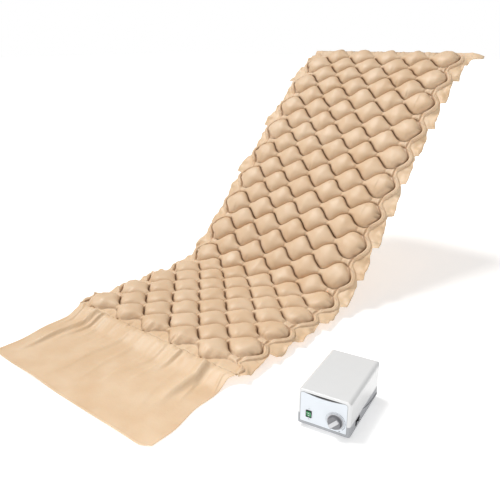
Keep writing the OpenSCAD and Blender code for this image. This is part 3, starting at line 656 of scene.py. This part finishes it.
def head_flap_points():
    """x, v and height of the head sheet's middle surface, and each line's length from the seam."""
    route = np.array([[0.0, 0.0], [0.004, -0.003], [0.0068, -0.010], [0.0068, -0.020],
                      [0.0045, -0.029], [-0.001, -0.0345], [-0.010, -0.0365], [-0.203, -0.0365]])
    step = np.hypot(*np.diff(route, axis=0).T)
    far = np.concatenate([[0], np.cumsum(step)])
    s = np.concatenate([np.arange(0, 0.05, 0.003), np.linspace(0.05, far[-1], 26)])
    along = np.interp(s, far, route[:, 0])
    down = np.interp(s, far, route[:, 1])
    for _ in range(3):
        along[1:-1] = (along[:-2] + 2 * along[1:-1] + along[2:]) / 4
        down[1:-1] = (down[:-2] + 2 * down[1:-1] + down[2:]) / 4
    x, _ = np.meshgrid(flap_x, s)
    sag = 0.0012 * ripple(x, s[:, None] + 0 * x, 0.06, 7) * smooth(s, 0.0, 0.03)[:, None]
    v = LENGTH + MARGIN + along[:, None] + 0 * x
    return x, v, down[:, None] + sag, s


hx, hv, hn, hs = head_flap_points()
off_v = 0.9 * SKIN * (hs < TURNED)[:, None]
off_n = SKIN * (hs >= TURNED)[:, None]
head_flap = shell_piece("head_flap_film", place(hx, hv + off_v, hn - off_n),
                        place(hx, hv - off_v, hn + off_n))
head_flap.data.materials.append(film)
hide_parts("head_flap")
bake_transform(head_flap)

# ---------------------------------------------------------------- pump details
pump_turn = math.atan2(joint_at["knob_turn"]["axis"][0], -joint_at["knob_turn"]["axis"][1])
knob_at = Vector(joint_at["knob_turn"]["pos_m"])
turn = Matrix.Rotation(pump_turn, 4, "Z")
FRONT = -0.123          # the panel's face in the pump's own frame
MARK = (FRONT + 0.0002, FRONT - 0.00015)       # depth of a printed mark, from back to face
KNOB_X, KNOB_Z = 0.036, 0.052
SWITCH_X, SWITCH_Z = -0.042, 0.049
pump_at = knob_at - turn @ Vector((KNOB_X, -0.125, KNOB_Z))
pump_matrix = Matrix.Translation(Vector((pump_at.x, pump_at.y, 0))) @ turn


def local_piece(name, bm, material, body, smooth_faces=True):
    """A piece from a mesh in the pump's own frame, riding on a body."""
    mesh = bpy.data.meshes.new(name)
    bm.normal_update()
    bm.to_mesh(mesh)
    bm.free()
    mesh.transform(pump_matrix)
    mesh.polygons.foreach_set("use_smooth", [smooth_faces] * len(mesh.polygons))
    mesh.materials.append(material)
    piece = bpy.data.objects.new(name, mesh)
    bpy.context.scene.collection.objects.link(piece)
    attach(piece, body)
    return piece


def prism(bm, outline, y0, y1):
    """A flat shape in the front plane, from depth y0 to y1; outline is (x, z) points."""
    back = [bm.verts.new((x, y0, z)) for x, z in outline]
    face = [bm.verts.new((x, y1, z)) for x, z in outline]
    bm.faces.new(face)
    bm.faces.new(back[::-1])
    for i in range(len(outline)):
        j = (i + 1) % len(outline)
        bm.faces.new((back[i], back[j], face[j], face[i]))


def bar(bm, cx, cz, half_w, half_h, y0, y1):
    """A flat upright rectangle round (cx, cz)."""
    prism(bm, [(cx - half_w, cz - half_h), (cx + half_w, cz - half_h),
               (cx + half_w, cz + half_h), (cx - half_w, cz + half_h)], y0, y1)


def ring_outline(cx, cz, r, count=32):
    turns = [2 * math.pi * k / count for k in range(count)]
    return [(cx + r * math.cos(a), cz + r * math.sin(a)) for a in turns]


def band(bm, outer, inner, y0, y1):
    """A flat ring between two outlines with the same number of points."""
    count = len(outer)
    rings = [[bm.verts.new((x, y, z)) for x, z in pts]
             for pts, y in ((outer, y0), (outer, y1), (inner, y1), (inner, y0))]
    for a, b in ((0, 1), (1, 2), (2, 3), (3, 0)):
        for i in range(count):
            j = (i + 1) % count
            bm.faces.new((rings[a][i], rings[a][j], rings[b][j], rings[b][i]))


def outline_offset(points, distance):
    """Moves each point of a closed anticlockwise outline outwards."""
    pts = np.array(points)
    along = np.roll(pts, -1, 0) - np.roll(pts, 1, 0)
    along = along / np.hypot(along[:, 0], along[:, 1])[:, None]
    return pts + distance * np.stack([along[:, 1], -along[:, 0]], -1)


def panel_outline():
    """The front panel's edge: rounded at the top, dipped along its top edge."""
    half, low, top, round_top, round_low = 0.0684, 0.0205, 0.1145, 0.0070, 0.0020
    dip_half, dip_z, sweep = 0.057, 0.1093, 0.3082     # the dip is an arc of radius sweep
    corner = []
    for k in range(9):
        a = math.pi / 2 * k / 8
        corner.append((half - round_top + round_top * math.cos(a),
                       top - round_top + round_top * math.sin(a)))
    pts = list(corner)
    for k in range(25):
        x = dip_half * (1 - k / 12)
        pts.append((x, dip_z + sweep - math.sqrt(sweep ** 2 - x ** 2)))
    pts += [(-x, z) for x, z in corner[::-1]]
    for cx, start in ((round_low - half, math.pi), (half - round_low, 1.5 * math.pi)):
        for k in range(5):
            a = start + math.pi / 2 * k / 4
            pts.append((cx + round_low * math.cos(a), low + round_low + round_low * math.sin(a)))
    return pts


# dots round the knob, from fine at the low end to large at the high end, and a thin ring in them
DOTS = 40
DOTS_FROM, DOTS_SPAN = 226, 268        # degrees anticlockwise from the right
DOTS_R = 0.0272
bm = bmesh.new()
for k in range(DOTS):
    share = (k / (DOTS - 1)) ** 1.35
    a = math.radians(DOTS_FROM - DOTS_SPAN * share)
    dot = 0.0004 + 0.0009 * share
    r = DOTS_R + dot
    prism(bm, ring_outline(KNOB_X + r * math.cos(a), KNOB_Z + r * math.sin(a), dot, 12), *MARK)
band(bm, ring_outline(KNOB_X, KNOB_Z, 0.0251, 64), ring_outline(KNOB_X, KNOB_Z, 0.0246, 64), *MARK)
# minus and plus under the knob
STROKE, ARM = 0.0004, 0.002
sign_z = KNOB_Z - 0.0275
bar(bm, KNOB_X - 0.013, sign_z, ARM, STROKE, *MARK)
bar(bm, KNOB_X + 0.013, sign_z, ARM, STROKE, *MARK)
bar(bm, KNOB_X + 0.013, sign_z, STROKE, ARM, FRONT + 0.0002, FRONT - 0.0002)
# generic on and off marks above and below the switch
off_z = SWITCH_Z - 0.0168
bar(bm, SWITCH_X, SWITCH_Z + 0.01675, STROKE, 0.00175, *MARK)
band(bm, ring_outline(SWITCH_X, off_z, 0.0018), ring_outline(SWITCH_X, off_z, 0.0011), *MARK)
local_piece("panel_marks", bm, mark_dark, "pump", False)

# fine grey joint line round the panel
bm = bmesh.new()
edge_line = panel_outline()
band(bm, outline_offset(edge_line, 0.0006), outline_offset(edge_line, -0.0003),
     FRONT + 0.0004, FRONT - 0.0002)
local_piece("panel_joint_line", bm, joint_grey, "pump", False)

# bright ring round the knob's foot
bm = bmesh.new()
band(bm, ring_outline(KNOB_X, KNOB_Z, 0.0232, 64), ring_outline(KNOB_X, KNOB_Z, 0.0212, 64),
     FRONT - 0.0012, FRONT - 0.0026)
local_piece("knob_ring", bm, knob_bar, "pump")

# grip ribs round the knob, drawn in a little towards their face
RIBS = 40
RIB_IN, RIB_OUT, RIB_HALF, RIB_DRAFT = 0.0178, 0.0193, 0.0006, 0.0010
bm = bmesh.new()
for k in range(RIBS):
    a = 2 * math.pi * k / RIBS
    c, s = math.cos(a), math.sin(a)
    pts = []
    for y, draft in ((FRONT - 0.0052, 0.0), (FRONT - 0.0115, RIB_DRAFT)):
        for r, w in ((RIB_IN, RIB_HALF), (RIB_OUT, RIB_HALF / 2), (RIB_OUT, -RIB_HALF / 2),
                     (RIB_IN, -RIB_HALF)):
            r = r - draft
            pts.append(bm.verts.new((KNOB_X + r * c - w * s, y, KNOB_Z + r * s + w * c)))
    bm.faces.new(pts[0:4])
    bm.faces.new(pts[4:8][::-1])
    for i in range(4):
        j = (i + 1) % 4
        bm.faces.new((pts[i], pts[i + 4], pts[j + 4], pts[j]))
bmesh.ops.recalc_face_normals(bm, faces=bm.faces)
local_piece("knob_ribs", bm, knob_grey, "knob", False)

# marks on the rocker's two halves, in the rocker's own tilted plane
bm = bmesh.new()
bar(bm, 0, 0.0044, 0.0005, 0.0017, -0.0030, -0.00395)
band(bm, ring_outline(0, -0.0044, 0.0018, 24), ring_outline(0, -0.0044, 0.0011, 24),
     -0.0030, -0.00395)
bm.transform(Matrix.Translation(Vector((SWITCH_X, -0.121, SWITCH_Z)))
             @ Matrix.Rotation(math.radians(12), 4, "X"))
local_piece("rocker_marks", bm, mark_white, "rocker", False)

for name, width in (("lower_case", 0.0006), ("knob_grip_bar", 0.0012), ("pressure_knob", 0.0008),
                    ("outlet_port", 0.0004), ("switch_bezel", 0.0003), ("rocker", 0.0003),
                    ("rubber_feet", 0.0008)):
    bevel(name, width)

# ---------------------------------------------------------------- floor, light and camera
floor_mesh = bpy.data.meshes.new("floor")
FLOOR_HALF, FLOOR_Z = 30, -0.0015
floor_mesh.from_pydata([(x * FLOOR_HALF, y * FLOOR_HALF, FLOOR_Z)
                        for x, y in ((-1, -1), (1, -1), (1, 1), (-1, 1))], [], [(0, 1, 2, 3)])
floor = bpy.data.objects.new("floor", floor_mesh)
bpy.context.scene.collection.objects.link(floor)
floor_white = new_material("floor_pale", (0.92, 0.92, 0.92), 0.9, Emission_Strength=0.45)
glow = floor_white.node_tree.nodes["Principled BSDF"].inputs["Emission Color"]
glow.default_value = (1, 1, 1, 1)
floor.data.materials.append(floor_white)

world = bpy.data.worlds.new("studio")
bpy.context.scene.world = world
world.use_nodes = True
tree = world.node_tree
ambient = tree.nodes["Background"]
ambient.inputs["Color"].default_value = (1.0, 1.0, 1.0, 1)
ambient.inputs["Strength"].default_value = 0.38
backdrop = tree.nodes.new("ShaderNodeBackground")
backdrop.inputs["Color"].default_value = (1.0, 1.0, 1.0, 1)
seen = tree.nodes.new("ShaderNodeLightPath")
either = tree.nodes.new("ShaderNodeMixShader")
tree.links.new(seen.outputs["Is Camera Ray"], either.inputs["Fac"])
tree.links.new(ambient.outputs["Background"], either.inputs[1])
tree.links.new(backdrop.outputs["Background"], either.inputs[2])
tree.links.new(either.outputs["Shader"], tree.nodes["World Output"].inputs["Surface"])
bpy.context.scene.view_settings.view_transform = "Standard"


def lamp(name, kind, at, towards, power, color=(1, 1, 1)):
    data = bpy.data.lights.new(name, kind)
    data.energy = power
    data.color = color
    piece = bpy.data.objects.new(name, data)
    bpy.context.scene.collection.objects.link(piece)
    piece.location = at
    piece.rotation_mode = "QUATERNION"
    piece.rotation_quaternion = (Vector(towards) - Vector(at)).to_track_quat("-Z", "Y")
    return data


lamp("key", "SUN", (-1.1, -0.25, 2.2), (0, 0, 0), 2.5, (1.0, 0.99, 0.97)).angle = math.radians(24)
fill = lamp("pump_fill", "AREA", (0.95, -1.1, 0.55), (0.74, 0.0, 0.06), 3.0)
fill.shape, fill.size, fill.size_y = "RECTANGLE", 0.7, 0.7

CAM_AZ, CAM_EL = math.radians(39.63), math.radians(20.30)
CAM_AT = Vector((1.4361, -1.1945, 1.0235))
FOCAL_PIXELS, IMAGE_PIXELS, SENSOR = 571.6, 500, 36
cam_data = bpy.data.cameras.new("camera")
cam_data.sensor_width = SENSOR
cam_data.lens = FOCAL_PIXELS / IMAGE_PIXELS * SENSOR
camera = bpy.data.objects.new("camera", cam_data)
bpy.context.scene.collection.objects.link(camera)
cam_back = Vector((math.sin(CAM_AZ) * math.cos(CAM_EL), -math.cos(CAM_AZ) * math.cos(CAM_EL),
                   math.sin(CAM_EL)))
camera.location = CAM_AT
camera.rotation_mode = "QUATERNION"
camera.rotation_quaternion = (-cam_back).to_track_quat("-Z", "Y")
bpy.context.scene.camera = camera
